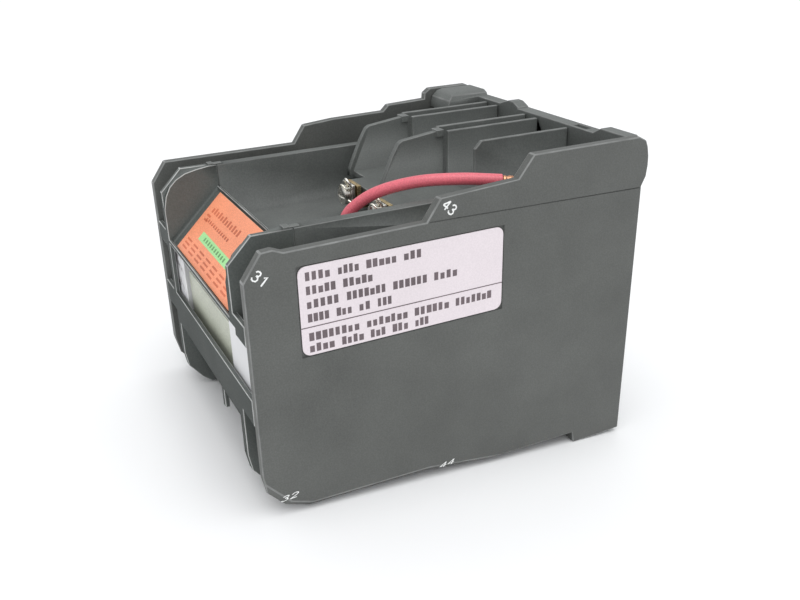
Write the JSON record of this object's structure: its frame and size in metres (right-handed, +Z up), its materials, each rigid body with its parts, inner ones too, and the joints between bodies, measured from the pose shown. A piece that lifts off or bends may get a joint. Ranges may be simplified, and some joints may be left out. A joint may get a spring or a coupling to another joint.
{
  "type": "din rail contactor",
  "caption": "Open-sided block contactor for a top-hat rail, with barrier walls, screw terminals, a sliding contact carrier and a jumper wire",
  "frame": {"origin": "centre of the rail seat, the flat rear face that the rail's flanges press on", "axes": "+X right as seen from the front, +Y from the front face to the rail, +Z up"},
  "size_m": [0.086, 0.1096, 0.0856],
  "materials": {
    "housing": "fine moulded grain, dark grey",
    "panel": "fine moulded grain, dark grey",
    "carrier": "smooth off-white moulding",
    "plate": "smooth grey-green moulding",
    "nameplate": "printed plastic film, orange",
    "label": "printed paper film",
    "steel": "zinc plated",
    "core": "ground laminated steel",
    "brass": "plain stamped brass",
    "copper": "plain copper",
    "bobbin": "natural glass-filled plastic",
    "rubber": "soft black rubber",
    "wire": "smooth red insulation",
    "latch": "black moulding"
  },
  "bodies": {
    "housing": {"base_plate": "housing", "rear_housing": "housing", "front_housing": "housing", "front_cover": "housing", "side_panel_left": "panel", "side_panel_right": "panel", "nameplate": "nameplate", "side_label": "label", "base_screw_1": "steel", "base_screw_2": "steel", "coil_screw_a1": "steel", "coil_screw_a2": "steel", "line_screw_1": "steel", "line_screw_2": "steel", "line_screw_3": "steel", "load_screw_1": "steel", "load_screw_2": "steel", "load_screw_3": "steel", "make_screw_43": "steel", "make_screw_44": "steel", "break_screw_21": "steel", "break_screw_22": "steel", "break_screw_31": "steel", "break_screw_32": "steel", "return_spring_left": "steel", "return_spring_right": "steel", "latch_spring": "steel", "fixed_core": "core", "line_contact_1": "brass", "line_contact_2": "brass", "line_contact_3": "brass", "load_contact_1": "brass", "load_contact_2": "brass", "load_contact_3": "brass", "make_contact_43": "brass", "make_contact_44": "brass", "break_contact_21": "brass", "break_contact_22": "brass", "break_contact_31": "brass", "break_contact_32": "brass", "coil_terminal_a1": "brass", "coil_terminal_a2": "brass", "jumper_tab": "brass", "coil_winding": "copper", "shading_ring_upper": "copper", "shading_ring_lower": "copper", "jumper_ferrule": "copper", "coil_bobbin": "bobbin", "core_cushion": "rubber", "jumper_wire": "wire"},
    "armature": {"contact_carrier": "carrier", "position_plate": "plate", "moving_core": "core", "main_bridge_1": "copper", "main_bridge_2": "copper", "main_bridge_3": "copper", "make_bridge_43_44": "copper", "break_bridge_21_22": "copper", "break_bridge_31_32": "copper"},
    "latch": {"rail_latch": "latch"}
  },
  "joints": [
    {"name": "armature_slide", "type": "slide", "parent": "housing", "child": "armature", "axis": [0, 1, 0], "range_m": [0, 0.004], "stiffness_N_per_m": 1000, "springref_m": -0.006, "deforming": ["return_spring_left", "return_spring_right"]},
    {"name": "rail_latch_slide", "type": "slide", "parent": "housing", "child": "latch", "axis": [0, 0, -1], "range_m": [0, 0.003], "stiffness_N_per_m": 1500, "springref_m": -0.002, "deforming": ["latch_spring"]}
  ]
}
